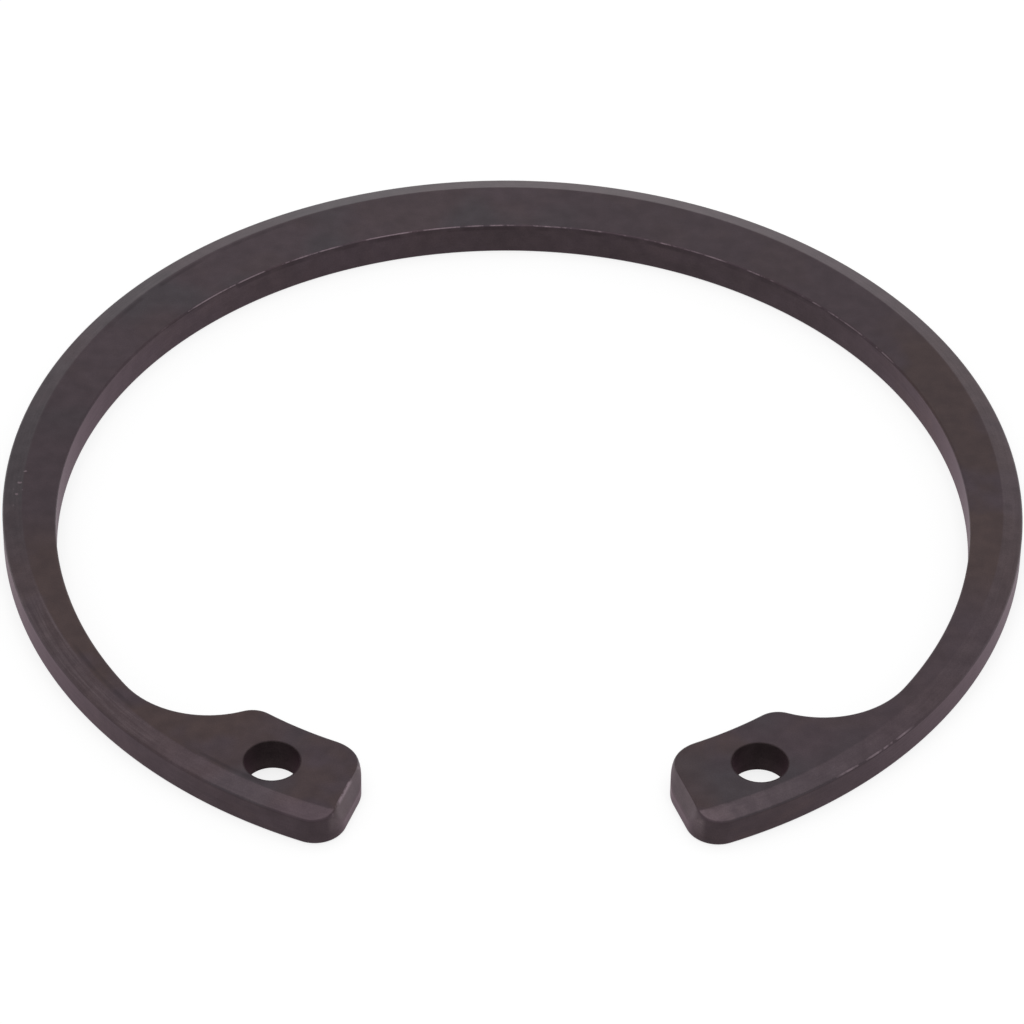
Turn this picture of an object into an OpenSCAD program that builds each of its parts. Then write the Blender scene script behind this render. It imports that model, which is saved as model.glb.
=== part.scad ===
// Bevelled internal retaining ring, lying flat as it would on a bench.
// One stamped piece of spring steel: the section tapers from the back to the gap,
// two lugs with plier holes stand inwards beside the gap, and the upper outer edge is bevelled.
// Every other edge is broken all round, as tumbling leaves it.
// Millimetres. The origin is the centre of the outer wall on the lower face, +Z is up, the gap looks along -Y.

/* [Ring] */
// Outer diameter when nothing squeezes the ring
free_diameter = 72.5; // [66:0.5:90]
// Thickness of the sheet it is stamped from
thickness = 2.5; // [1.5:0.1:4]
// Width of the section opposite the gap
back_width = 6; // [5:0.1:7]
// How far the inner circle is moved towards the gap, which tapers the section
taper_shift = 2.1; // [1:0.1:2.8]

/* [Edges] */
// Width of the bevelled band on the upper outer edge, seen from above
bevel_width = 1.4; // [0.6:0.05:1.6]
// Slope of the bevelled band against the flat face, degrees
bevel_angle = 15; // [8:1:30]
// How much the other edges are broken
edge_break = 0.15; // [0.05:0.01:0.3]

/* [Lugs] */
// Depth of the lugs, inwards from the outer wall
lug_depth = 7.6; // [6.8:0.05:9]
// Angle from the middle of the gap to each end face, degrees
gap_half_angle = 19.8; // [15:0.1:23]
// Angle from the middle of the gap to each lug's inner shoulder, degrees
shoulder_angle = 36; // [34:0.1:39]
// Rounding of the shoulder
shoulder_radius = 1.9; // [0.8:0.1:2.6]
// Hollow that carries the shoulder over into the ring's inner edge
neck_radius = 6.9; // [5:0.1:9]
// Rounding of the inner corner of each end
inner_corner_radius = 2.9; // [0.8:0.1:3.2]
// Rounding of the outer corner of each end
outer_corner_radius = 2.2; // [0.8:0.1:3]

/* [Plier holes] */
// Diameter of the two holes
plier_hole_diameter = 3.8; // [2.5:0.1:4.2]
// Distance of the hole centres from the outer wall
plier_hole_inset = 3.8; // [3.4:0.1:4.5]
// Angle from the middle of the gap to each hole, degrees
plier_hole_angle = 30.6; // [28:0.1:32]

/* [Hidden] */
$fn = 180;

outer_radius = free_diameter / 2;
inner_radius = outer_radius - back_width + taper_shift;
inner_centre = [0, -taper_shift];
lug_radius = outer_radius - lug_depth;
hole_circle_radius = outer_radius - plier_hole_inset;
bevel_drop = bevel_width * tan(bevel_angle);
beyond = 1;
// Arcs that touch cross by this much, so that each one ends cleanly on the next
crossing = 0.0001;
steel = [0.29, 0.25, 0.26];

// A point at a distance from the ring's centre, at an angle from the middle of the gap
function around(distance, angle) = [distance * sin(angle), -distance * cos(angle)];

// The way from one point to another, one millimetre long
function way(from, to) = (to - from) / norm(to - from);

// Where two circles meet, on the left when looking from the first centre to the second
function meeting(a, a_radius, b, b_radius) =
    let (gap = norm(b - a),
         along = (gap * gap + a_radius * a_radius - b_radius * b_radius) / (2 * gap),
         aside = sqrt(max(0, a_radius * a_radius - along * along)),
         u = way(a, b))
    a + along * u + aside * [-u[1], u[0]];

// The shoulder's arc touches the lug's inner edge, and the neck's arc touches
// both the shoulder's arc and the ring's inner circle.
shoulder_centre = around(lug_radius + shoulder_radius, shoulder_angle);
neck_centre = meeting(inner_centre, inner_radius - neck_radius, shoulder_centre, neck_radius + shoulder_radius);

// The end corners touch the end face, which points at the ring's centre, and the lug's two edges.
inner_corner_centre = around(lug_radius + inner_corner_radius,
    gap_half_angle + asin(inner_corner_radius / (lug_radius + inner_corner_radius)));
outer_corner_centre = around(outer_radius - outer_corner_radius,
    gap_half_angle + asin(outer_corner_radius / (outer_radius - outer_corner_radius)));
to_gap = [-cos(gap_half_angle), -sin(gap_half_angle)];

// The wall of an opening seen in section: it leans away over both edges of the sheet
function opening_wall(x) = [
    [x + edge_break + beyond, -beyond],
    [x, edge_break],
    [x, thickness - edge_break],
    [x + edge_break + beyond, thickness + beyond]];

// A round opening through the sheet, with both of its edges broken
module opening(radius) {
    rotate_extrude() polygon(concat([[0, -beyond]], opening_wall(radius), [[0, thickness + beyond]]));
}

// A round disc of the sheet, with both of its edges broken
module disc(radius) {
    rotate_extrude() polygon([[0, 0], [radius - edge_break, 0], [radius, edge_break],
        [radius, thickness - edge_break], [radius - edge_break, thickness], [0, thickness]]);
}

// The whole disc the ring is cut from, with its bevel
module blank() {
    shoulder = thickness - bevel_drop;
    rotate_extrude() polygon([[0, 0], [outer_radius - edge_break, 0], [outer_radius, edge_break],
        [outer_radius, shoulder - edge_break],
        [outer_radius - edge_break, shoulder + edge_break * tan(bevel_angle)],
        [outer_radius - bevel_width, thickness], [0, thickness]]);
}

// What is taken away so that a corner becomes an arc about the given centre
module rounding(centre, radius, first, second) {
    difference() {
        translate([0, 0, -beyond])
            linear_extrude(height = thickness + 2 * beyond)
                polygon([centre, centre + 2 * radius * first, centre + 2 * radius * (first + second),
                    centre + 2 * radius * second]);
        translate(centre) disc(radius + crossing);
    }
}

// The inner circle as far as the necks, where the lugs begin
module eccentric_opening() {
    side = 2 * outer_radius * way(inner_centre, neck_centre);
    difference() {
        translate(inner_centre) opening(inner_radius);
        translate([0, 0, -2 * beyond])
            linear_extrude(height = thickness + 4 * beyond)
                polygon([inner_centre, inner_centre + side, [0, -4 * outer_radius],
                    inner_centre + [-side[0], side[1]]]);
    }
}

// The open middle of the gap, short of the end faces
module gap_middle() {
    reach = 2 * outer_radius;
    angle = gap_half_angle * 0.6;
    translate([0, 0, -beyond])
        linear_extrude(height = thickness + 2 * beyond)
            polygon([[0, 0], around(reach, -angle), [0, -reach], around(reach, angle)]);
}

// The side of the gap that leaves one end face, which points at the ring's centre
module end_opening() {
    width = outer_radius * sin(gap_half_angle) * 0.7;
    rotate([0, 0, gap_half_angle - 90])
        translate([lug_radius - 2, 0, 0])
            rotate([90, 0, 90])
                linear_extrude(height = lug_depth + 4)
                    polygon(concat([[-width, -beyond]], opening_wall(0), [[-width, thickness + beyond]]));
}

// Everything that belongs to one lug: its neck, its end face, its plier hole and its three rounded corners
module lug_cuts() {
    translate(neck_centre) opening(neck_radius + crossing);
    translate(around(hole_circle_radius, plier_hole_angle)) opening(plier_hole_diameter / 2);
    end_opening();
    rounding(shoulder_centre, shoulder_radius, way(shoulder_centre, neck_centre), way(shoulder_centre, [0, 0]));
    rounding(inner_corner_centre, inner_corner_radius, way(inner_corner_centre, [0, 0]), to_gap);
    rounding(outer_corner_centre, outer_corner_radius, to_gap, way([0, 0], outer_corner_centre));
}

module ring() {
    color(steel)
        difference() {
            blank();
            eccentric_opening();
            opening(lug_radius);
            gap_middle();
            lug_cuts();
            mirror([1, 0, 0]) lug_cuts();
        }
}

ring();
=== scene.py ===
"""Looks of a bevelled internal retaining ring: one stamped, ground, phosphated and oiled piece of steel.

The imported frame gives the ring's size and place. A finer mesh of the same plan, with rounded edges, stands
for it. Lengths are in millimetres and angles in degrees, until a mesh, a lamp or the camera is made, which
are in metres.
"""

import logging
import math
from dataclasses import dataclass, field
from enum import Enum
from typing import Any

import bpy
import numpy as np
from bpy.types import ID, Material, Mesh, Node, NodeSocket, Object, World
from mathutils import Matrix, Vector
from numpy import ndarray as Array


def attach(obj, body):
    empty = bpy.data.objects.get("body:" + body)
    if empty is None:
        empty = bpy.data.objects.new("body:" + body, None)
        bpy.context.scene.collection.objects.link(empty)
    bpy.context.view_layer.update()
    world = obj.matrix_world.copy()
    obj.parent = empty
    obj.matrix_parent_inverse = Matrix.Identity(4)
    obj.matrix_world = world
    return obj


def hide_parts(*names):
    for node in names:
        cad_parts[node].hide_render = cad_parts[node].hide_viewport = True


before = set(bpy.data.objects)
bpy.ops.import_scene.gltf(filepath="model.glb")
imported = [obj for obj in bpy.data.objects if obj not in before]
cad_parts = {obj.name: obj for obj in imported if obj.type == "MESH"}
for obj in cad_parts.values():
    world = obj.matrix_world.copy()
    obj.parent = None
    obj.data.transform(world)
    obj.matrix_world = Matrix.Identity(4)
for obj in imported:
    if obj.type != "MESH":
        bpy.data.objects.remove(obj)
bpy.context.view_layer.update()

LOG = logging.getLogger("retaining_ring")
BODY = "root"
NODE = "ring"
# A millimetre in metres
MM = 0.001
# Points are rounded to one of this many steps in a millimetre before they are welded
WELD_STEPS = 1e5


def linear(code: str) -> tuple[float, float, float, float]:
    """Turns an sRGB hex colour into the linear colour that a shader works with.

    Args:
        code: Six hex digits after a hash sign.

    Returns:
        Red, green, blue and an alpha of 1. A channel c becomes c / 12.92 up to 0.04045, and otherwise
        ((c + 0.055) / 1.055) to the power 2.4.
    """
    srgb = np.array([int(code[i : i + 2], 16) for i in (1, 3, 5)]) / 255
    lit = np.where(srgb <= 0.04045, srgb / 12.92, ((srgb + 0.055) / 1.055) ** 2.4)
    return float(lit[0]), float(lit[1]), float(lit[2]), 1.0


def around(distance: float, angle: float) -> Array:
    """The point at a distance from the ring's centre, at an angle from the middle of the gap."""
    turn = math.radians(angle)
    return np.array([distance * math.sin(turn), -distance * math.cos(turn)])


def heading(v: Array) -> float:
    """The direction of a vector in the plan, in radians anticlockwise from +X."""
    return math.atan2(v[1], v[0])


def from_gap(point: Array) -> float:
    """A point's angle about the ring's centre, in radians from the middle of the gap."""
    return math.atan2(point[0], -point[1])


def lifted(points: Array, height: Array) -> Array:
    """Plan points, with x and y along the last axis, and their heights as points in space."""
    return np.concatenate([points, height[..., None]], axis=-1)


def towards(azimuth: float, elevation: float) -> tuple[float, float, float]:
    """The direction at an azimuth, round to the right of +Y, and an elevation above the floor."""
    a, e = math.radians(azimuth), math.radians(elevation)
    return math.sin(a) * math.cos(e), math.cos(a) * math.cos(e), math.sin(e)


def meeting(a: Array, a_radius: float, b: Array, b_radius: float) -> Array:
    """Finds where two circles meet.

    Args:
        a: Centre of the first circle.
        a_radius: Its radius.
        b: Centre of the second circle.
        b_radius: Its radius.

    Returns:
        The crossing on the left when looking from a to b. It lies (d * d + ra * ra - rb * rb) / 2d along the
        line of centres, for centres d apart, and as far aside as Pythagoras leaves.
    """
    gap = float(np.linalg.norm(b - a))
    along = (gap * gap + a_radius * a_radius - b_radius * b_radius) / (2 * gap)
    aside = math.sqrt(max(0.0, a_radius * a_radius - along * along))
    u = (b - a) / gap
    return a + along * u + aside * np.array([-u[1], u[0]])


def placed(name: str, data: ID) -> Object:
    """Makes an object and puts it in the scene.

    Args:
        name: Its name.
        data: Its mesh, lamp or camera.

    Returns:
        The object, at the origin.
    """
    made = bpy.data.objects.new(name, data)
    bpy.context.scene.collection.objects.link(made)
    return made


@dataclass(frozen=True)
class Run:
    """A stretch of the outline, with the metal on the right of the way along it.

    Attributes:
        points: Its points in the plan.
        outward: At each point, the direction straight out of the metal.
        punched: Whether it is a punched hole, whose edges stay sharper.
    """

    points: Array
    outward: Array
    punched: bool = False

    @classmethod
    def arc(cls, centre: Array, radius: float, start: float, end: float, steps: int) -> "Run":
        """Samples an arc: centre plus radius times (cos t, sin t), with t going evenly from start to end.

        Args:
            centre: The arc's centre.
            radius: Its radius.
            start: Heading of its first point from the centre, radians.
            end: Heading of its last point, radians. Less than start goes clockwise, round the metal.
            steps: How many steps it is cut into.

        Returns:
            The run. Outward is away from the centre when it goes clockwise, and towards it otherwise.
        """
        t = np.linspace(start, end, steps + 1)
        spoke = np.stack([np.cos(t), np.sin(t)], axis=1)
        return cls(centre + radius * spoke, spoke if end < start else -spoke)

    @classmethod
    def line(cls, start: Array, end: Array, steps: int) -> "Run":
        """Samples a straight line: start plus t times the way to the end, with t going evenly from 0 to 1.

        Args:
            start: Its first point.
            end: Its last point.
            steps: How many steps it is cut into.

        Returns:
            The run. Outward is its direction turned a quarter to the left.
        """
        t = np.linspace(0.0, 1.0, steps + 1)[:, None]
        way = (end - start) / np.linalg.norm(end - start)
        return cls(start + t * (end - start), np.tile([-way[1], way[0]], (steps + 1, 1)))

    def then(self, *others: "Run") -> "Run":
        """Joins runs that follow each other; a point that two share is kept once, as the first has it."""
        return Run(
            np.concatenate([self.points, *(o.points[1:] for o in others)]),
            np.concatenate([self.outward, *(o.outward[1:] for o in others)]),
        )

    def inset(self, depth: float | Array) -> Array:
        """The run's points moved into the metal by a depth, or each by its own."""
        return self.points - np.reshape(depth, (-1, 1)) * self.outward


@dataclass(frozen=True)
class Outline:
    """The right half's outline in runs that follow each other, and its plier hole.

    Attributes:
        outer: The outer wall, from the back to the outer corner.
        tip: The outer corner as far as the crease.
        rim: The rest of the end and of the lug's edge, as far as the arm.
        arm: The arm's inner edge, on to the back.
        hole: The plier hole, with its points on the spokes to the lug's edge.
    """

    outer: Run
    tip: Run
    rim: Run
    arm: Run
    hole: Run


@dataclass
class Skin:
    """A closed surface that is put together from grids of points."""

    grids: list[Array] = field(default_factory=list)

    def lay(self, grid: Array, turned: bool = False) -> None:
        """Adds a grid of shape (rows, columns, 3), and its mirror image for the other half of the ring.

        Args:
            grid: Points in millimetres.
            turned: Whether it is turned over. Left alone, rows crossed with columns point out of the metal.
        """
        faced = grid[:, ::-1] if turned else grid
        self.grids += [faced, faced[::-1] * np.array([-1.0, 1.0, 1.0])]

    def mesh(self, name: str) -> Mesh:
        """Welds the grids into one mesh of quads.

        Args:
            name: Name of the mesh.

        Returns:
            The mesh. Point (i, j) of a grid begins a quad with (i + 1, j), (i + 1, j + 1) and (i, j + 1).
            Points that are the same once rounded are one.
        """
        points = np.concatenate([g.reshape(-1, 3) for g in self.grids])
        quads, start = [], 0
        for grid in self.grids:
            n = start + np.arange(grid[..., 0].size).reshape(grid.shape[:2])
            quad = np.stack([n[:-1, :-1], n[1:, :-1], n[1:, 1:], n[:-1, 1:]], axis=-1)
            quads.append(quad.reshape(-1, 4))
            start += n.size
        corners = np.concatenate(quads)
        keys = np.round(points * WELD_STEPS).astype(np.int64)
        _, first, same = np.unique(keys, axis=0, return_index=True, return_inverse=True)
        corners = same.reshape(-1)[corners].astype(np.int32)
        made = bpy.data.meshes.new(name)
        made.vertices.add(len(first))
        made.vertices.foreach_set("co", (points[first] * MM).astype(np.float32).ravel())
        made.loops.add(corners.size)
        made.loops.foreach_set("vertex_index", corners.ravel())
        made.polygons.add(len(corners))
        made.polygons.foreach_set("loop_start", np.arange(0, corners.size, 4, dtype=np.int32))
        made.polygons.foreach_set("loop_total", np.full(len(corners), 4, dtype=np.int32))
        made.polygons.foreach_set("use_smooth", np.ones(len(corners), dtype=bool))
        made.update(calc_edges=True)
        made.validate()
        return made


@dataclass(frozen=True)
class RingPlan:
    """The ring's sizes, as its source has them: millimetres, and degrees from the middle of the gap."""

    free_diameter: float = 72.5
    thickness: float = 2.5
    back_width: float = 6.0
    taper_shift: float = 2.1
    bevel_width: float = 1.4
    bevel_angle: float = 15.0
    lug_depth: float = 7.6
    gap_half_angle: float = 19.8
    shoulder_angle: float = 36.0
    shoulder_radius: float = 1.9
    neck_radius: float = 6.9
    inner_corner_radius: float = 2.9
    outer_corner_radius: float = 2.2
    plier_hole_diameter: float = 3.8
    plier_hole_inset: float = 3.8
    plier_hole_angle: float = 30.6

    @property
    def outer_radius(self) -> float:
        """Radius of the outer wall."""
        return self.free_diameter / 2

    @property
    def inner_radius(self) -> float:
        """Radius of the inner circle, about its own centre."""
        return self.outer_radius - self.back_width + self.taper_shift

    @property
    def inner_centre(self) -> Array:
        """Centre of the inner circle, moved towards the gap."""
        return np.array([0.0, -self.taper_shift])

    @property
    def lug_radius(self) -> float:
        """Radius of the lugs' inner edges."""
        return self.outer_radius - self.lug_depth

    @property
    def crease_radius(self) -> float:
        """Radius at which the bevel begins."""
        return self.outer_radius - self.bevel_width

    @property
    def to_gap(self) -> Array:
        """The direction straight out of the right end face, which points at the ring's centre."""
        angle = math.radians(self.gap_half_angle)
        return np.array([-math.cos(angle), -math.sin(angle)])

    @property
    def hole_centre(self) -> Array:
        """Centre of the right plier hole."""
        return around(self.outer_radius - self.plier_hole_inset, self.plier_hole_angle)

    @property
    def shoulder_centre(self) -> Array:
        """Centre of the shoulder's arc, which touches the lug's inner edge."""
        return around(self.lug_radius + self.shoulder_radius, self.shoulder_angle)

    @property
    def neck_centre(self) -> Array:
        """Centre of the neck's arc, which touches the shoulder and the inner circle."""
        short, long = self.inner_radius - self.neck_radius, self.neck_radius + self.shoulder_radius
        return meeting(self.inner_centre, short, self.shoulder_centre, long)

    @property
    def inner_corner_centre(self) -> Array:
        """Centre of the inner corner of the right end."""
        return self._corner(self.lug_radius + self.inner_corner_radius, self.inner_corner_radius)

    @property
    def outer_corner_centre(self) -> Array:
        """Centre of the outer corner of the right end."""
        return self._corner(self.outer_radius - self.outer_corner_radius, self.outer_corner_radius)

    def _corner(self, distance: float, radius: float) -> Array:
        """Centre of an end corner's arc, which lies its own radius from the end face."""
        return around(distance, self.gap_half_angle + math.degrees(math.asin(radius / distance)))


@dataclass
class RetainingRing:
    """The one piece: its walls, its two sides and its plier holes as one closed skin.

    Attributes:
        plan: The ring's sizes.
        edge_round: Radius of the tumbled edges.
        hole_round: Radius of the edges of the plier holes, where tumbling hardly reaches.
        lean_depth: How far in the upper edge of an end face lies, where the metal broke off.
        lean_drop: How far down the end face leans.
        lean_focus: How soon the lean fades round the end's corners.
        crease_round: Half the width over which the flat face turns into the bevel.
        margin: Width of the row beside a rounded edge, which keeps the flat part flat in the shading.
        outer_steps: Steps along half the outer wall.
        tip_steps: Steps round the outer corner as far as the crease, and so across the bevel.
        crease_rows: How many of the bevel's rows lie close together over the crease.
        eased_rungs: Over how many of its rungs the bevel eases out to the corner.
        rim_steps: Steps round the rest of the outer corner, down the end face, round the inner corner, along
            the lug's inner edge, round the shoulder, and along the neck as far as its cut.
        neck_cut: Share of the neck that belongs to the lug.
        search_steps: Steps in which the outer corner is searched for the crease.
        turn_steps: Steps round a rounded edge.
        wall_steps: Steps down a wall, between its margins.
        face_steps: Steps across a flat face, between its margins.
    """

    plan: RingPlan = field(default_factory=RingPlan)
    edge_round: float = 0.15
    hole_round: float = 0.05
    lean_depth: float = 0.45
    lean_drop: float = 1.5
    lean_focus: int = 8
    crease_round: float = 0.09
    margin: float = 0.05
    outer_steps: int = 240
    tip_steps: int = 14
    crease_rows: int = 5
    eased_rungs: int = 9
    rim_steps: tuple[int, ...] = (4, 6, 14, 13, 9, 6)
    neck_cut: float = 0.25
    search_steps: int = 4000
    turn_steps: int = 8
    wall_steps: int = 6
    face_steps: int = 8

    def top_height(self, points: Array) -> Array:
        """Height of the upper side above the lower one.

        Args:
            points: Points in the plan, with x and y along the last axis.

        Returns:
            The thickness less a drop. With x the distance outside the crease, w the crease's rounding and s
            the bevel's slope, the drop is none below -w, s x above w, and s (x + w) squared / 4w in between.
        """
        x = np.linalg.norm(points, axis=-1) - self.plan.crease_radius
        w = self.crease_round
        eased = np.where(x < w, np.clip(x + w, 0.0, None) ** 2 / (4 * w), x)
        return self.plan.thickness - math.tan(math.radians(self.plan.bevel_angle)) * eased

    def leaning(self, run: Run) -> Array:
        """How much of the end face's lean the wall has along a run.

        Args:
            run: A run of the right half's outline.

        Returns:
            A share for each point: the cosine of the angle between the outward direction and the way out of
            the end face, to the power lean_focus, and none where the wall faces away or lies off the end.
        """
        p = self.plan
        near_end = -(run.points @ p.to_gap) < p.inner_corner_radius + p.outer_corner_radius
        return np.where(near_end, np.clip(run.outward @ p.to_gap, 0.0, 1.0) ** self.lean_focus, 0.0)

    def edge(self, run: Run) -> float:
        """Radius of the rounded edges along a run."""
        return self.hole_round if run.punched else self.edge_round

    def depth(self, run: Run) -> Array:
        """How far in from the outline the upper face ends: the edge's radius, and more where it leans."""
        return self.edge(run) + (self.lean_depth - self.edge(run)) * self.leaning(run)

    def face_line(self, run: Run, upper: bool) -> Array:
        """The line along a run at which the upper or the lower face ends and the rounded edge begins."""
        return run.inset(self.depth(run) if upper else self.edge(run))

    def wall(self, run: Run) -> Array:
        """Carries the section of a wall with its two edges along a run of the outline.

        Args:
            run: The run that the wall stands on.

        Returns:
            A grid with a row for each point of the run. From the upper face its columns go round a quarter
            circle: at the angle a, a point lies e - e sin a inside the outline and e - e cos a below the
            face, for the edge's radius e. Where the wall leans they go straight down the lean instead,
            d cos a inside the outline and h - h cos a below the face, for its depth d and drop h, with a
            share of both in between. Then they go evenly down the wall between two narrow margins, and round
            a quarter circle onto the lower face.
        """
        e = self.edge(run)
        a = np.linspace(0.0, math.pi / 2, self.turn_steps + 1)
        lean = self.leaning(run)[:, None]
        drop = (e + (self.lean_drop - e) * lean) * (1 - np.cos(a))
        depth = (1 - lean) * e * (1 - np.sin(a)) + lean * self.lean_depth * np.cos(a)
        rim = run.points[:, None] - depth[..., None] * run.outward[:, None]
        upper = lifted(rim, self.top_height(rim) - drop)
        rim = run.points[:, None] - (e - e * np.sin(a))[None, :, None] * run.outward[:, None]
        lower = lifted(rim, np.broadcast_to(e - e * np.cos(a), rim.shape[:2]))[:, ::-1]
        top, bottom = upper[:, -1:, 2], lower[:, :1, 2]
        height = top - self.shares(top - bottom, self.wall_steps)[:, 1:-1] * (top - bottom)
        middle = np.repeat(run.points[:, None], height.shape[1], axis=1)
        return np.concatenate([upper, lifted(middle, height), lower], axis=1)

    def shares(self, width: Array, steps: int) -> Array:
        """Shares of a width at which its rows lie: a narrow margin, even steps, and a narrow margin.

        Args:
            width: Widths, as a column.
            steps: How many even steps lie between the margins.

        Returns:
            A row of shares from 0 to 1 for each width.
        """
        edge = self.margin / width
        inner = edge + np.linspace(0.0, 1.0, steps + 1)[None] * (1 - 2 * edge)
        return np.concatenate([np.zeros_like(edge), inner, np.ones_like(edge)], axis=1)

    @staticmethod
    def rungs(first: Array, last: Array, share: Array) -> Array:
        """Joins two lines of plan points: each point is (1 - share) of the first and share of the last."""
        return (1 - share[..., None]) * first[:, None] + share[..., None] * last[:, None]

    def face(self, first: Array, last: Array) -> Array:
        """Lays rungs over a flat face between two lines of plan points, with a margin at both ends."""
        width = np.linalg.norm(first - last, axis=1)[:, None]
        return self.rungs(first, last, self.shares(width, self.face_steps))

    def band(self, outer: Array, crease: Array, tip: Array) -> Array:
        """Lays rungs over the bevel, from the outer wall's edge to the crease.

        Args:
            outer: Points along the outer wall's edge, from the back to the outer corner.
            crease: As many points along the crease.
            tip: Points round the outer corner, from the last outer one to the last crease one.

        Returns:
            Plan points. The rungs are straight, with close rows over the crease, and over the last few of
            them the rows ease out to the corner: a row's offset there is the tip's point less the straight
            rung's point, times the square of the share of the way to the last rung.
        """
        width = float(np.linalg.norm(outer[0] - crease[0]))
        near = 2 * self.crease_round
        close = np.linspace(0.0, near, self.crease_rows)
        wide = np.linspace(near + self.margin, width - self.margin, self.tip_steps - self.crease_rows)
        share = 1 - np.concatenate([close, wide, [width]])[::-1] / width
        straight = self.rungs(outer, crease, share[None])
        ease = np.clip(1 - (self.outer_steps - np.arange(len(outer))) / self.eased_rungs, 0.0, 1.0) ** 2
        return straight + ease[:, None, None] * (tip - straight[-1])[None]

    def crease_line(self, tip: Run, upper: bool) -> Array:
        """The arc at which the bevel's grid ends, from the back to the last point of the outer corner."""
        last = self.face_line(tip, upper)[-1]
        return Run.arc(
            np.zeros(2), float(np.linalg.norm(last)), math.pi / 2, heading(last), self.outer_steps
        ).points

    def lug_loop(self, crease: Array, rim: Run, rung: Array, upper: bool) -> Array:
        """The line round a lug's flat face: the end of the crease, the rim and the arm's last rung."""
        return np.concatenate([crease, self.face_line(rim, upper)[1:], rung[::-1][1:]])

    def outline(self) -> Outline:
        """Works out the outline of the right half, with points that both sides and the walls share.

        Returns:
            Its runs. Each arc touches the next one, so that a run ends where the next one begins.
        """
        p, centre, back = self.plan, np.zeros(2), math.pi / 2
        corner, inner_corner = p.outer_corner_centre, p.inner_corner_centre
        shoulder, neck = p.shoulder_centre, p.neck_centre
        out = heading(p.to_gap)
        rest_steps, end_steps, fold_steps, lip_steps, knee_steps, neck_steps = self.rim_steps

        # The bevel ends on the outer corner, where the upper face's line has come in as far as the crease
        whole = Run.arc(corner, p.outer_corner_radius, heading(corner), out, self.search_steps)
        far = np.linalg.norm(self.face_line(whole, upper=True), axis=1)
        met = int(np.argmax(far <= p.crease_radius - self.crease_round))
        crossing = heading(whole.outward[met])

        outer = Run.arc(centre, p.outer_radius, back, heading(corner), self.outer_steps)
        tip = Run.arc(corner, p.outer_corner_radius, heading(corner), crossing, self.tip_steps)
        tip_rest = Run.arc(corner, p.outer_corner_radius, crossing, out, rest_steps)
        end = Run.line(
            corner + p.outer_corner_radius * p.to_gap,
            inner_corner + p.inner_corner_radius * p.to_gap,
            end_steps,
        )
        once_round = out + 2 * math.pi
        fold = Run.arc(inner_corner, p.inner_corner_radius, once_round, heading(-inner_corner), fold_steps)
        lip = Run.arc(centre, p.lug_radius, heading(inner_corner), heading(shoulder), lip_steps)
        knee = Run.arc(shoulder, p.shoulder_radius, heading(-shoulder), heading(neck - shoulder), knee_steps)
        neck_from, neck_to = heading(shoulder - neck), heading(neck - p.inner_centre)
        cut_heading = neck_from + self.neck_cut * (neck_to - neck_from)
        neck_near = Run.arc(neck, p.neck_radius, neck_from, cut_heading, neck_steps)
        rim = tip_rest.then(end, fold, lip, knee, neck_near)

        # The arm gets as many rungs as its share of the way round, from the neck's cut to the back
        touch = from_gap(neck + p.neck_radius * np.array([math.cos(neck_to), math.sin(neck_to)]))
        cut = from_gap(neck_near.points[-1])
        rungs = round(self.outer_steps * (math.pi - cut) / (math.pi - from_gap(tip.points[-1])))
        neck_rungs = round(rungs * (touch - cut) / (math.pi - cut))
        neck_far = Run.arc(neck, p.neck_radius, cut_heading, neck_to, neck_rungs)
        arm = neck_far.then(Run.arc(p.inner_centre, p.inner_radius, neck_to, back, rungs - neck_rungs))

        # The hole's points lie on the spokes from its centre to the points round the lug
        crease = self.crease_line(tip, upper=True)
        even = np.linspace(0, 1, self.face_steps + 3)[None]
        rung = self.rungs(crease[rungs][None], self.face_line(neck_far, upper=True)[:1], even)[0]
        spoke = self.lug_loop(crease[rungs:], rim, rung, upper=True) - p.hole_centre
        spoke = spoke / np.linalg.norm(spoke, axis=1)[:, None]
        hole = Run(p.hole_centre + p.plier_hole_diameter / 2 * spoke, -spoke, punched=True)
        return Outline(outer, tip, rim, arm, hole)

    def lay_side(self, skin: Skin, outline: Outline, upper: bool) -> None:
        """Lays the upper or the lower side of one half of the ring, and its mirror image.

        It has three grids: the band between the outer wall and the crease, the arm between the crease and
        the inner wall, and the lug round its plier hole. The lower side has no crease, but its grids part at
        the same points of the outline.

        Args:
            skin: Where the grids go.
            outline: The half's outline.
            upper: Whether it is the upper side.
        """
        crease = self.crease_line(outline.tip, upper)
        inner = self.face_line(outline.arm, upper)[::-1]
        arm = self.face(crease[: len(inner)], inner)
        loop = self.lug_loop(crease[len(inner) - 1 :], outline.rim, arm[-1], upper)
        lug = self.face(loop, self.face_line(outline.hole, upper))
        band = self.band(self.face_line(outline.outer, upper), crease, self.face_line(outline.tip, upper))
        for grid in (band, arm, lug):
            height = self.top_height(grid) if upper else np.zeros(grid.shape[:2])
            skin.lay(lifted(grid, height), turned=upper)

    def build(self) -> Object:
        """Makes the ring.

        Returns:
            The ring's object, at the origin.
        """
        outline, skin = self.outline(), Skin()
        for upper in (True, False):
            self.lay_side(skin, outline, upper)
        skin.lay(self.wall(outline.outer.then(outline.tip, outline.rim, outline.arm)))
        skin.lay(self.wall(Run(outline.hole.points[::-1], outline.hole.outward[::-1], punched=True)))
        return placed("retaining_ring", skin.mesh("retaining_ring"))

    def dress(self, made: Object, material: Material) -> None:
        """Gives the ring its finish and its place in the frame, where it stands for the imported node.

        Args:
            made: The ring's object.
            material: Its finish.
        """
        made.data.materials.append(material)
        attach(made, BODY)
        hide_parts(NODE)


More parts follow.
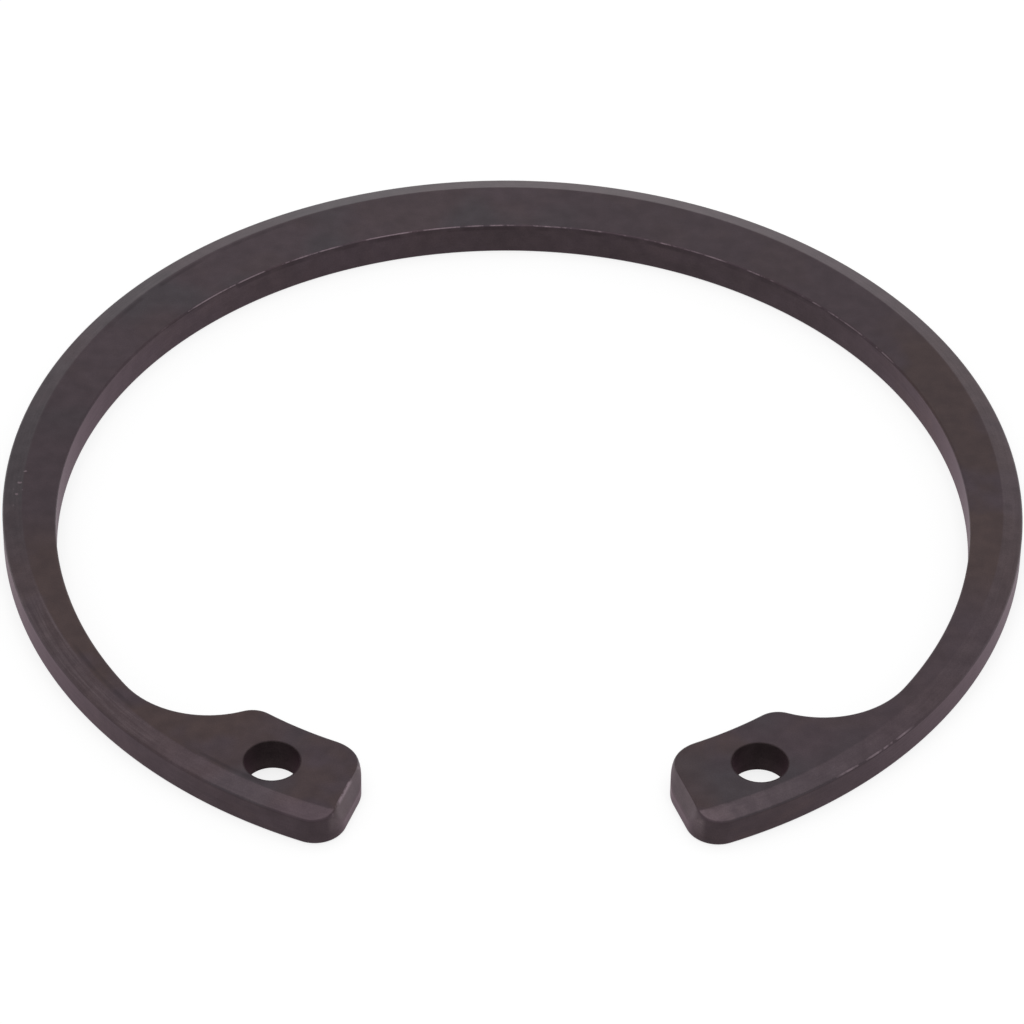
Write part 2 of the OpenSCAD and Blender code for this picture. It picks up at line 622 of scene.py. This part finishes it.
class Graph:
    """A material's or the world's node tree, built a node at a time."""

    def __init__(self, owner: Material | World) -> None:
        """Takes over a node tree and empties it.

        Args:
            owner: The material or the world that the tree belongs to.
        """
        owner.use_nodes = True
        self.tree = owner.node_tree
        self.tree.nodes.clear()

    def add(self, kind: str | tuple[str, str], *inputs: Any, **settings: Any) -> Node:
        """Adds a node with its settings and links.

        Args:
            kind: The node's type, alone or with its operation.
            *inputs: What its inputs get, in their order, or all in one mapping from their names: a node, for
                that node's first output in use, or one of its outputs, or a value.
            **settings: The node's own settings, made before its inputs are.

        Returns:
            The node.
        """
        if isinstance(kind, tuple):
            kind, settings["operation"] = kind
        node = self.tree.nodes.new(kind)
        for name, value in settings.items():
            setattr(node, name, value)
        given = inputs[0] if inputs and isinstance(inputs[0], dict) else dict(enumerate(inputs))
        for key, value in given.items():
            socket = next(s for i, s in enumerate(node.inputs) if key == i or (s.name == key and s.enabled))
            if isinstance(value, Node):
                value = next(o for o in value.outputs if o.enabled)
            if isinstance(value, NodeSocket):
                self.tree.links.new(value, socket)
            else:
                socket.default_value = value
        return node


# Types of node. A RANGE takes a value, where it starts and ends, and what comes out there if not 0 and 1.
MATH, VECTOR, RANGE = "ShaderNodeMath", "ShaderNodeVectorMath", "ShaderNodeMapRange"
NOISE, MIX, SPLIT = "ShaderNodeTexNoise", "ShaderNodeMix", "ShaderNodeSeparateXYZ"
# Types of node with their operation
TIMES, PLUS, MINUS, TIMES_PLUS = ((MATH, name) for name in ("MULTIPLY", "ADD", "SUBTRACT", "MULTIPLY_ADD"))
SIZE, LARGER, STRETCHED = (MATH, "ABSOLUTE"), (MATH, "MAXIMUM"), (VECTOR, "MULTIPLY")


@dataclass(frozen=True)
class Stretch:
    """A stretch round the ring, in degrees from its back, positive on the right.

    Attributes:
        start: Where it starts.
        end: Where it ends.
        fade: Over how many degrees it fades in and out, beyond its start and end.
    """

    start: float
    end: float
    fade: float


class RingSpots:
    """Nodes that say where on the ring a point is, in millimetres, and shares that go from 0 to 1.

    The two numbers of a share's range are where it is 0 and where it is 1.

    Attributes:
        graph: The graph that the nodes are in.
        spot: The point.
        radius: Its distance from the ring's centre.
        height: Its height above the lower face.
        ring_spot: Its radius, its way round the outer wall from the back, and its height.
        turn: Degrees from the back, positive on the right.
        bevel: Share of the bevelled band.
        outer: Share of what lies outside the crease, edges and wall included.
        fold: Share of a narrow band along the crease.
        wall: Share of the upright walls.
        crown: Share of the rounded edges' upper halves, short of the faces.
        brow: Share of the walls' top, just below an edge.
        bore: Share of the punched holes and their rounded rims.
        end: Share of the end faces.
        burr: Share of the fine burr along the end faces' upper edges.
        lug: Share of the two lugs and the arms' ends.
    """

    def __init__(self, graph: Graph, plan: RingPlan, lean_depth: float) -> None:
        """Makes the nodes.

        Args:
            graph: The material's graph.
            plan: The ring's sizes.
            lean_depth: How far in the end faces' upper edges lie.
        """
        self.graph, add = graph, graph.add
        place = add("ShaderNodeTexCoord")
        self.spot = add(VECTOR, {"Vector": place.outputs["Object"], "Scale": 1 / MM}, operation="SCALE")
        x, y, self.height = add(SPLIT, self.spot).outputs
        level = add(STRETCHED, self.spot, (1, 1, 0))
        self.radius = add(VECTOR, level, operation="LENGTH")
        turn = add(MATH, x, y, operation="ARCTAN2")
        self.turn = add(MATH, turn, operation="DEGREES")
        along = add(TIMES, turn, plan.outer_radius)
        self.ring_spot = add("ShaderNodeCombineXYZ", self.radius, along, self.height)

        # Slopes are told by the height of the normal, which is 1 on the upper face and 0 on a wall
        slope = add(SPLIT, place.outputs["Normal"]).outputs["Z"]
        steep = add(SIZE, slope)
        self.wall = add(RANGE, steep, 0.5, 0.15)
        off_wall, off_face = add(RANGE, steep, 0.45, 0.65), add(RANGE, steep, 0.955, 0.85)
        self.crown = add(TIMES, off_wall, off_face)
        high = add(RANGE, self.height, plan.thickness - 0.5, plan.thickness - 0.35)
        self.brow = add(TIMES, self.wall, high)

        crease = plan.crease_radius
        self.outer = add(RANGE, self.radius, crease - 0.06, crease + 0.06)
        self.bevel = add(TIMES, self.outer, add(RANGE, slope, 0.55, 0.9))
        self.fold = add(RANGE, add(SIZE, add(MINUS, self.radius, crease)), 0.7, 0.5)

        # The two ends are mirror images, so one serves both once the left side is folded over
        folded = add("ShaderNodeCombineXYZ", add(SIZE, x), y)
        off_hole = add(VECTOR, folded, (*plan.hole_centre, 0), operation="DISTANCE")
        rim = plan.plier_hole_diameter / 2
        # The holes' share takes in their rounded rims, which the material darkens as painted shade
        self.bore = add(RANGE, off_hole, rim + 0.16, rim + 0.02)
        off_end = add(VECTOR, folded, (*-plan.to_gap, 0), operation="DOT_PRODUCT")
        self.end = add(RANGE, off_end, lean_depth + 0.25, lean_depth)
        near_edge = add(RANGE, add(SIZE, add(MINUS, off_end, lean_depth)), 0.1, 0.03)
        top = add(RANGE, self.height, plan.thickness - 0.5, plan.thickness - 0.3)
        self.burr = add(TIMES, near_edge, top)
        shoulder = 180 - plan.shoulder_angle
        self.lug = add(RANGE, add(SIZE, self.turn), shoulder - 10, shoulder + 2)

    def over(self, stretch: Stretch) -> Node:
        """Makes the share of a stretch.

        Args:
            stretch: The stretch.

        Returns:
            The share's node: 1 along the stretch, falling to 0 over its fade beyond both ends.
        """
        middle, half = (stretch.start + stretch.end) / 2, (stretch.end - stretch.start) / 2
        off = self.graph.add(SIZE, self.graph.add(MINUS, self.turn, middle))
        return self.graph.add(RANGE, off, half + stretch.fade, half)


@dataclass(frozen=True)
class PhosphatedSteel:
    """Spring steel with a manganese phosphate coat, ground on the bevel, tumbled and oiled.

    The coat is a fine dark crystal layer, from brown to slate, and the oil gives it a satin sheen, so to the
    eye it is no bare metal: nearly black in itself, it takes on light at a flat angle. The oil tints what it
    reflects. The bevel's grinding lines show through the coat, and tumbling has thinned it on some edges,
    whose pale colour is partly a painted highlight. The end faces carry a painted reflection, with painted
    shade lower down, and the punched holes and their rims are painted shade, given as a dark metal.

    Attributes:
        name: The material's name.
        plan: The ring's sizes, which place the bevel and the holes.
        lean_depth: How far in the end faces' upper edges lie.
        mauve: The coat's main colour.
        umber: Where it is thin and brown.
        slate: Where it is thick and grey.
        sheared: The upright walls' colour, darker than the coat elsewhere.
        ground: Crests of the bevel's grinding lines, the end faces' painted reflection, the bevel tip's
            painted highlight.
        burnish_and_glint: Edges that tumbling has rubbed, paler partly as a painted highlight.
        hole_shade: The walls of the punched holes and their rims, painted dark as the shade in the holes.
        oil_tint: Tint of the oil's reflection.
        line_gap: Distance between grinding lines, drawn coarser than it is.
        line_length: Length of a grinding line.
        crystal_size: Size of a crystal of the coat, drawn coarser than it is.
        mottle_size: Size of the spots in the coat's mottling.
        blotch_size: Size of a brown blotch.
        cloud_size: Size of a grey cloud.
        patch_size: Length and height of the patches in which the walls are less dark.
        mark_size: Length and height of the shear marks on the walls.
        rub_size: Length of a rubbed spot on an edge.
        fleck_size: Distance between specks, of which the brightest few show, some 0.3 mm across.
        break_size: Distance between the breaks in a dark line.
        lined: Where the grinding lines show most.
        inner_rub_and_glint: Where the inner edges are rubbed and carry a painted highlight.
        outer_rub_and_glint: Where the outer edges are rubbed and carry a painted highlight.
        rubbed_glinting_end: The end whose burr is rubbed and carries a painted highlight.
        dark_lines: Where a dark line runs beside the crease.
        slated: Where the bevel's coat is thick and grey.
        shaded: Where the whole coat is thick and dark.
        dimmed: Where it is a little darker on the flat face.
        painted_wall_light: Where the walls get less of their dark colour, as painted light.
        clouded: Where the flat face has grey clouds, besides the lugs.
        browned: Where the coat is thin and brown, less on the bevel.
        flecked: Where there are small bright flecks beside the crease.
    """

    name: str = "phosphated_spring_steel"
    plan: RingPlan = field(default_factory=RingPlan)
    lean_depth: float = RetainingRing.lean_depth
    mauve: str = "#3A3135"
    umber: str = "#3D312D"
    slate: str = "#333235"
    sheared: str = "#352D2F"
    ground: str = "#594F51"
    burnish_and_glint: str = "#7C6E74"
    hole_shade: str = "#3B3334"
    oil_tint: str = "#FFDDEF"
    line_gap: float = 0.2
    line_length: float = 7.0
    crystal_size: float = 0.1
    mottle_size: float = 1.2
    blotch_size: float = 5.0
    cloud_size: float = 9.0
    patch_size: tuple[float, float] = (4.0, 1.2)
    mark_size: tuple[float, float] = (5.0, 0.3)
    rub_size: float = 2.0
    fleck_size: float = 0.5
    break_size: float = 2.5
    lined: Stretch = Stretch(-133, -112, 5)
    inner_rub_and_glint: Stretch = Stretch(-51, 60, 5)
    outer_rub_and_glint: Stretch = Stretch(133, 142, 2)
    rubbed_glinting_end: Stretch = Stretch(-175, -150, 2)
    dark_lines: tuple[Stretch, ...] = (Stretch(-149, -141, 2), Stretch(-129, -120, 3), Stretch(-58, -30, 5))
    slated: Stretch = Stretch(-92, -14, 14)
    shaded: Stretch = Stretch(-96, -76, 12)
    dimmed: Stretch = Stretch(10, 84, 8)
    painted_wall_light: Stretch = Stretch(-78, -16, 14)
    clouded: Stretch = Stretch(-72, 4, 10)
    browned: tuple[Stretch, ...] = (Stretch(62, 104, 10), Stretch(-142, -102, 8))
    flecked: Stretch = Stretch(-92.5, -86.8, 0.3)

    def build(self) -> Material:
        """Builds the material.

        Returns:
            The material, whose patterns are worked out in millimetres from the ring's own coordinates.
        """
        made = bpy.data.materials.new(self.name)
        graph = Graph(made)
        spots = RingSpots(graph, self.plan, self.lean_depth)
        per_mm = (1 / self.line_gap, 1 / self.line_length, 0)
        drawn_out = graph.add(STRETCHED, spots.ring_spot, per_mm)
        lines = graph.add(NOISE, {"Vector": drawn_out, "Scale": 1.0, "Detail": 3.0, "Roughness": 0.6})
        crystal = graph.add(NOISE, {"Vector": spots.spot, "Scale": 1 / self.crystal_size, "Detail": 2.0})
        rub_and_glint = self.rub_and_glint(spots)
        # Satin under oil, smoother where it is ground or rubbed, rougher where it is sheared or punched
        rough: Any = 0.38
        for share, change in ((spots.bevel, -0.02), (spots.wall, 0.06), (rub_and_glint, -0.1), (spots.bore, 0.3)):
            rough = graph.add(TIMES_PLUS, share, change, rough)
        # Half bare metal on the sheared walls, whose coat is thin, and all of it in the holes, whose dark
        # metal is painted shade
        bare = graph.add(LARGER, graph.add(TIMES, spots.wall, 0.5), spots.bore)
        surface = graph.add(
            "ShaderNodeBsdfPrincipled",
            {
                "Base Color": self.colour(spots, lines, rub_and_glint, crystal),
                "Roughness": rough,
                "Metallic": bare,
                "Specular Tint": linear(self.oil_tint),
                "Normal": self.relief(spots, lines, crystal),
            },
        )
        graph.add("ShaderNodeOutputMaterial", surface)
        return made

    def rub_and_glint(self, spots: RingSpots) -> Node:
        """Makes the share of rub and painted highlight: on edge crowns, in broken lines, and in flecks.

        Args:
            spots: The places on the ring.

        Returns:
            The share's node. Inside the crease it follows inner_rub_and_glint, outside it
            outer_rub_and_glint, and it takes in the burr of one end.
        """
        add, over = spots.graph.add, spots.over
        spotted = {"Vector": spots.spot, "Scale": 1 / self.rub_size, "Detail": 4.0, "Roughness": 0.65}
        kept = add(RANGE, add(NOISE, spotted), 0.46, 0.56)
        # The pale lines on the edges' crowns and on one burr are partly wear and partly painted highlight
        edges = {"Factor": spots.outer, "A": over(self.inner_rub_and_glint), "B": over(self.outer_rub_and_glint)}
        where = add(TIMES, add(MIX, edges, data_type="FLOAT"), spots.crown)
        burr = add(TIMES, spots.burr, over(self.rubbed_glinting_end))
        where = add(LARGER, where, burr)
        worn_and_glint = add(TIMES, kept, where)
        speck = add(NOISE, {"Vector": spots.spot, "Scale": 1 / self.fleck_size, "Detail": 1.0})
        speck = add(RANGE, speck, 0.67, 0.7)
        fleck = add(TIMES, add(TIMES, speck, over(self.flecked)), spots.fold)
        return add(LARGER, worn_and_glint, fleck)

    def colour(self, spots: RingSpots, lines: Node, rub_and_glint: Node, crystal: Node) -> Node:
        """Makes the base colour, one layer of the coat over another.

        Args:
            spots: The places on the ring.
            lines: The grinding lines.
            rub_and_glint: The share of rub and painted highlight.
            crystal: The crystals.

        Returns:
            The colour's node.
        """
        add, over = spots.graph.add, spots.over
        # Brown blotches, most on the lugs and on the arms
        blotch = add(NOISE, {"Vector": spots.spot, "Scale": 1 / self.blotch_size, "Detail": 2.0})
        often, seldom = add(RANGE, blotch, 0.36, 0.5), add(RANGE, blotch, 0.5, 0.6)
        some = add(TIMES_PLUS, spots.lug, 0.5, 0.2)
        brown = add(TIMES, seldom, some)
        inside = add(TIMES_PLUS, spots.outer, -0.5, 1.0)
        for stretch in self.browned:
            share = add(TIMES, add(TIMES, often, over(stretch)), inside)
            brown = add(LARGER, brown, share)

        # Grey clouds on the bevel, on the flat face and on the lugs, but not on the walls
        cloud = add(NOISE, {"Vector": spots.ring_spot, "Scale": 1 / self.cloud_size, "Detail": 1.5})
        on_bevel = add(TIMES, over(self.slated), spots.outer)
        grey = add(TIMES, add(RANGE, cloud, 0.4, 0.52), on_bevel)
        cloudy = add(LARGER, over(self.clouded), spots.lug)
        clouds = add(TIMES, add(RANGE, cloud, 0.5, 0.62, 0.0, 0.8), cloudy)
        clouds = add(TIMES, clouds, add(MINUS, 1.0, spots.wall))
        grey = add(LARGER, grey, clouds)

        # The bevel's crests show most where it is lined, and near the right end it gets a painted highlight
        # in spots
        crest = add(RANGE, lines, 0.42, 0.72)
        lined = add(TIMES_PLUS, over(self.lined), 0.5, 0.15)
        shown = add(TIMES_PLUS, crest, lined, 0.2)
        mottle = add(NOISE, {"Vector": spots.spot, "Scale": 1 / self.mottle_size, "Detail": 2.0})
        right_end = add(RANGE, spots.turn, 150, 158, 0.0, 0.4)
        # Painted highlight in spots near the bevel's right end
        thin = add(TIMES, right_end, add(RANGE, mottle, 0.42, 0.6))
        bared = add(TIMES, add(PLUS, shown, thin), spots.bevel)

        # The walls are darker in patches; the end faces get a painted reflection, most at the top, and
        # painted shade lower down
        length, height = self.patch_size
        patch = add(STRETCHED, spots.ring_spot, (0, 1 / length, 1 / height))
        patch = add(NOISE, {"Vector": patch, "Scale": 1.0, "Detail": 3.0})
        wall_darkening = add(TIMES, add(RANGE, patch, 0.4, 0.65, 1.0, 0.4), spots.wall)
        # Painted light: the walls on the left side are kept lighter
        left = add(RANGE, over(self.painted_wall_light), 0.0, 1.0, 1.0, 0.1)
        wall_darkening = add(TIMES, wall_darkening, left)
        # Painted shade: the end faces' painted reflection fades towards the bottom
        bare = add(RANGE, spots.height, 0.5, 1.7, 0.15, 0.74)
        end_sheen_and_shade = add(TIMES, add(TIMES, spots.wall, spots.end), bare)

        coat: Any = linear(self.mauve)
        for share, shade in (
            (brown, self.umber),
            (grey, self.slate),
            (bared, self.ground),
            (wall_darkening, self.sheared),
            (end_sheen_and_shade, self.ground),
            # Pale edges: partly rubbed coat, partly painted highlight
            (rub_and_glint, self.burnish_and_glint),
            # Painted shade: the holes and their rims, made darker still by the full metal they are given
            (spots.bore, self.hole_shade),
        ):
            coat = add(MIX, {"Factor": share, "A": coat, "B": linear(shade)}, data_type="RGBA")

        # The mottling, the crystals, the dark lines, and where the whole coat or the flat face is darker
        flat = add(MINUS, 1.0, add(LARGER, spots.outer, spots.wall))
        dim = add(TIMES, over(self.dimmed), flat)
        for value, low, high, least, most in (
            (mottle, 0.3, 0.7, 0.82, 1.18),
            (crystal, 0.3, 0.7, 0.86, 1.14),
            (self.dark(spots), 0.0, 1.0, 1.0, 0.6),
            (over(self.shaded), 0.0, 1.0, 1.0, 0.82),
            (dim, 0.0, 1.0, 1.0, 0.84),
        ):
            layer = {"Factor": 1.0, "A": coat, "B": add(RANGE, value, low, high, least, most)}
            coat = add(MIX, layer, data_type="RGBA", blend_type="MULTIPLY")
        return coat

    def dark(self, spots: RingSpots) -> Node:
        """Makes the share of the dark lines, some 0.25 mm wide, which breaks leave in pieces.

        Args:
            spots: The places on the ring.

        Returns:
            The share's node: beside the crease in dark_lines, and under the rubbed inner edge.
        """
        add = spots.graph.add
        off = add(SIZE, add(MINUS, spots.radius, self.plan.crease_radius - 0.28))
        along: Any = 0.0
        for stretch in self.dark_lines:
            along = add(LARGER, along, spots.over(stretch))
        beside = add(TIMES, add(RANGE, off, 0.2, 0.08), along)
        under = add(TIMES, spots.brow, add(MINUS, 1.0, spots.outer))
        under = add(TIMES, under, spots.over(self.inner_rub_and_glint))
        line = add(LARGER, beside, under)
        breaks = add(NOISE, {"Vector": spots.ring_spot, "Scale": 1 / self.break_size, "Detail": 3.0})
        return add(TIMES, line, add(RANGE, breaks, 0.4, 0.55))

    def relief(self, spots: RingSpots, lines: Node, crystal: Node) -> Node:
        """Makes the relief: crystals everywhere, lines on the bevel, and shear marks along the walls.

        Args:
            spots: The places on the ring.
            lines: The grinding lines.
            crystal: The crystals.

        Returns:
            The bump's node, for heights in millimetres.
        """
        add = spots.graph.add
        length, height = self.mark_size
        along_wall = add(STRETCHED, spots.ring_spot, (0, 1 / length, 1 / height))
        marks = add(NOISE, {"Vector": along_wall, "Scale": 1.0, "Detail": 3.0})
        cut = add(TIMES, marks, spots.wall)
        line = add(TIMES, lines, spots.bevel)
        rise: Any = 0.0
        for pattern, depth in ((crystal, 0.004), (line, 0.01), (cut, 0.012)):
            rise = add(TIMES_PLUS, pattern, depth, rise)
        return add("ShaderNodeBump", {"Height": rise, "Distance": MM})


class Ray(Enum):
    """Kinds of ray that see the floor as white, whatever light it gives the ring."""

    CAMERA = "Is Camera Ray"
    GLOSSY = "Is Glossy Ray"
    TRANSMISSION = "Is Transmission Ray"


@dataclass(frozen=True)
class Window:
    """A soft window in the walls of the room.

    Attributes:
        azimuth: Its middle, in degrees round to the right of +Y.
        elevation: Its middle, in degrees above the floor.
        focus: A higher one makes it smaller.
        glow: How much it adds, where 1 is white.
    """

    azimuth: float
    elevation: float
    focus: float
    glow: float


@dataclass
class Studio:
    """A plain pale floor, soft light from all round and above, and the camera at the photograph's angle.

    Attributes:
        camera_distance: From the aim to the camera.
        camera_elevation: Above the floor.
        camera_azimuth: Round to the right of the view along +Y.
        camera_roll: Turn of the camera about its line of sight, anticlockwise as it looks.
        camera_aim: The point in the middle of the picture.
        camera_range: How near and how far it sees.
        lens: Focal length.
        film: Width of the film.
        floor_size: Side of the floor.
        floor_drop: How far it lies below the ring.
        floor_grey: Its colour.
        floor_lift: What it adds for the rays that see it as white.
        panel_size: Side of the soft panel above the ring.
        panel_height: Its height above the floor.
        panel_glow: Its brightness, where 1 is white.
        room_fade: Between which sines of the elevation the room's walls go from white to room_dim.
        room_dim: Their brightness from there on up, where 1 is white.
        windows: Soft windows in the walls of the room.
    """

    camera_distance: float = 434.96
    camera_elevation: float = 41.226
    camera_azimuth: float = -1.053
    camera_roll: float = 0.924
    camera_aim: tuple[float, float, float] = (-0.03, 0.55, 0.0)
    camera_range: tuple[float, float] = (10.0, 20000.0)
    lens: float = 213.94
    film: float = 36.0
    floor_size: float = 4000.0
    floor_drop: float = 0.02
    floor_grey: str = "#9A9A9A"
    floor_lift: float = 0.76
    panel_size: float = 700.0
    panel_height: float = 800.0
    panel_glow: float = 1.4
    room_fade: tuple[float, float] = (0.1, 0.55)
    room_dim: float = 0.55
    windows: tuple[Window, ...] = (Window(11.0, 13.0, 14.0, 0.5), Window(180.0, 42.0, 4.0, 0.35))

    def camera(self) -> None:
        """Sets up the camera."""
        x, y, z = towards(self.camera_azimuth, self.camera_elevation)
        back = Vector((x, -y, z))
        data = bpy.data.cameras.new("camera")
        data.lens, data.sensor_width = self.lens, self.film
        data.clip_start, data.clip_end = (reach * MM for reach in self.camera_range)
        made = placed("camera", data)
        place = (Vector(self.camera_aim) + self.camera_distance * back) * MM
        roll = Matrix.Rotation(math.radians(self.camera_roll), 3, "Z")
        turn = back.to_track_quat("Z", "Y").to_matrix() @ roll
        made.matrix_world = Matrix.Translation(place) @ turn.to_4x4()
        bpy.context.scene.camera = made

    def floor(self) -> None:
        """Lays the floor, a square just below the ring, which the rays in Ray see as white."""
        h, z = self.floor_size / 2 * MM, -self.floor_drop * MM
        mesh = bpy.data.meshes.new("floor")
        mesh.from_pydata([(-h, -h, z), (h, -h, z), (h, h, z), (-h, h, z)], [], [(0, 1, 2, 3)])
        made = placed("floor", mesh)
        material = bpy.data.materials.new("pale_floor")
        graph = Graph(material)
        path = graph.add("ShaderNodeLightPath")
        seen: Any = 0.0
        for ray in Ray:
            seen = graph.add(PLUS, seen, path.outputs[ray.value], use_clamp=True)
        lift = graph.add(TIMES, seen, self.floor_lift)
        glow = graph.add("ShaderNodeEmission", {"Strength": lift})
        matte = graph.add("ShaderNodeBsdfDiffuse", {"Color": linear(self.floor_grey)})
        graph.add("ShaderNodeOutputMaterial", graph.add("ShaderNodeAddShader", matte, glow))
        mesh.materials.append(material)

    def light(self) -> None:
        """Lights the scene from all round with the world, and from above with a soft panel.

        The room's walls are white at the floor and dimmer higher up. Each window adds its glow times the
        cosine of the angle from its middle, to the power of its focus.
        """
        world = bpy.data.worlds.new("studio")
        bpy.context.scene.world = world
        graph = Graph(world)
        way = graph.add("ShaderNodeTexCoord").outputs["Generated"]
        up = graph.add(SPLIT, way).outputs["Z"]
        lit = graph.add(RANGE, up, *self.room_fade, 1.0, self.room_dim, interpolation_type="SMOOTHSTEP")
        for window in self.windows:
            middle = towards(window.azimuth, window.elevation)
            near = graph.add(VECTOR, way, middle, operation="DOT_PRODUCT")
            near = graph.add(LARGER, near, 0.0)
            near = graph.add(MATH, near, window.focus, operation="POWER")
            lit = graph.add(TIMES_PLUS, near, window.glow, lit)
        # Only the camera sees the walls as plain white; the ring reflects them as they are lit
        seen = graph.add("ShaderNodeLightPath").outputs[Ray.CAMERA.value]
        level = graph.add(MIX, {"Factor": seen, "A": lit, "B": 1.0}, data_type="FLOAT")
        sky = graph.add("ShaderNodeBackground", {"Strength": level})
        graph.add("ShaderNodeOutputWorld", sky)

        side = self.panel_size * MM
        lamp = bpy.data.lights.new("panel", "AREA")
        lamp.size, lamp.energy = side, self.panel_glow * math.pi * side * side
        placed("panel", lamp).location = (0, 0, self.panel_height * MM)

    def build(self) -> None:
        """Sets up the floor, the light and the camera."""
        self.floor()
        self.light()
        self.camera()
        bpy.context.scene.view_settings.view_transform = "Standard"


def main() -> None:
    """Builds the ring and its studio, and reports each piece."""
    logging.basicConfig(level=logging.INFO, format="%(message)s")
    ring = RetainingRing()
    made = ring.build()
    ring.dress(made, PhosphatedSteel(plan=ring.plan, lean_depth=ring.lean_depth).build())
    LOG.info("%s: %d faces", made.name, len(made.data.polygons))
    Studio().build()


if __name__ == "__main__":
    main()
